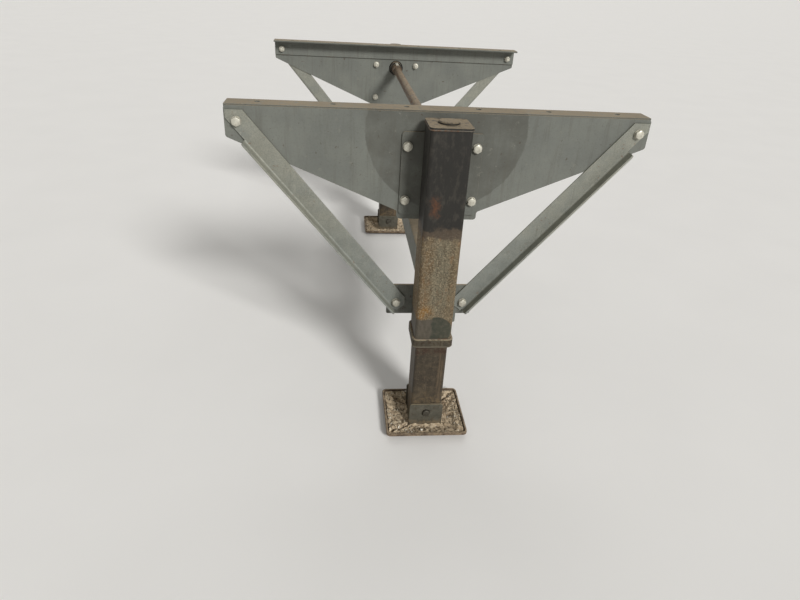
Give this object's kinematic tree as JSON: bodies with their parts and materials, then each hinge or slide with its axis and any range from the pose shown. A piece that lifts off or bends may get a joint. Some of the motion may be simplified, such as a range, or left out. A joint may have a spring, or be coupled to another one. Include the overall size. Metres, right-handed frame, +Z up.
{
  "type": "semi-trailer landing gear",
  "caption": "Landing gear of a semi-trailer: telescopic legs on rocking sand shoes, wing plates, braces, cross tie, cross shaft, gearbox and folding crank.",
  "frame": {"origin": "centre of the mounting bolt pattern, on the plane where the gear meets the trailer's crossmembers", "axes": "+X to the front of the trailer, +Y from the kerb side leg to the road side leg, +Z up"},
  "size_m": [1.31, 2.5565, 1.107],
  "materials": {
    "leg_paint": "dark grey-brown paint, rusted",
    "leg_steel": "dark oiled steel, brown with dirt",
    "bracket_paint": "grey paint, dusty",
    "plate_paint": "mid grey paint, worn",
    "brace_paint": "pale grey paint, scuffed",
    "shoe_steel": "rusted and muddy",
    "pin_steel": "plain turned steel, stained",
    "shaft_steel": "plain tube, lightly rusted",
    "gear_iron": "cast, painted dark grey",
    "crank_steel": "bar steel, worn zinc",
    "grip_plastic": "black moulded sleeve"
  },
  "bodies": {
    "gear_frame": {"near_outer_tube": "leg_paint", "near_top_cap": "leg_paint", "near_collar": "leg_paint", "near_inner_tube": "leg_steel", "near_brace_bracket": "bracket_paint", "near_mount_bracket": "bracket_paint", "near_wing_plate": "plate_paint", "near_mounting_angle": "plate_paint", "near_front_brace": "brace_paint", "near_rear_brace": "brace_paint", "near_tie_plate": "bracket_paint", "near_shaft_boss": "leg_paint", "far_outer_tube": "leg_paint", "far_top_cap": "leg_paint", "far_collar": "leg_paint", "far_inner_tube": "leg_steel", "far_brace_bracket": "bracket_paint", "far_mount_bracket": "bracket_paint", "far_wing_plate": "plate_paint", "far_mounting_angle": "plate_paint", "far_front_brace": "brace_paint", "far_rear_brace": "brace_paint", "far_tie_plate": "bracket_paint", "far_shaft_boss": "leg_paint", "cross_tie": "bracket_paint", "gearbox_housing": "gear_iron", "gearbox_cover": "gear_iron"},
    "near_foot": {"near_sand_shoe": "shoe_steel", "near_shoe_saddle": "shoe_steel", "near_foot_pin": "pin_steel"},
    "far_foot": {"far_sand_shoe": "shoe_steel", "far_shoe_saddle": "shoe_steel", "far_foot_pin": "pin_steel"},
    "cross_shaft": {"near_stub_shaft": "shaft_steel", "near_shaft_coupling": "shaft_steel", "far_stub_shaft": "shaft_steel", "far_shaft_coupling": "shaft_steel", "cross_shaft": "shaft_steel"},
    "crank_input": {"input_shaft": "pin_steel", "fold_pin": "pin_steel"},
    "crank": {"crank": "crank_steel", "crank_grip": "grip_plastic"}
  },
  "joints": [
    {"name": "near_foot_rock", "type": "hinge", "parent": "gear_frame", "child": "near_foot", "pos_m": [0, -0.927, -1.039], "axis": [0, 1, 0], "range_deg": [-15, 15]},
    {"name": "far_foot_rock", "type": "hinge", "parent": "gear_frame", "child": "far_foot", "pos_m": [0, 0.927, -1.039], "axis": [0, 1, 0], "range_deg": [-15, 15]},
    {"name": "crank_turn", "type": "hinge", "parent": "gear_frame", "child": "crank_input", "pos_m": [0, 1.1255, -0.188], "axis": [0, 1, 0], "continuous": true},
    {"name": "crank_fold", "type": "hinge", "parent": "crank_input", "child": "crank", "pos_m": [0, 1.1255, -0.188], "axis": [0, 0, 1], "range_deg": [0, 90]},
    {"name": "cross_shaft_turn", "type": "hinge", "parent": "gear_frame", "child": "cross_shaft", "pos_m": [0, 0, -0.122], "axis": [0, 1, 0], "continuous": true}
  ],
  "couplings": [
    {"joint": "cross_shaft_turn", "follows": "crank_turn", "ratio": -0.33333}
  ]
}
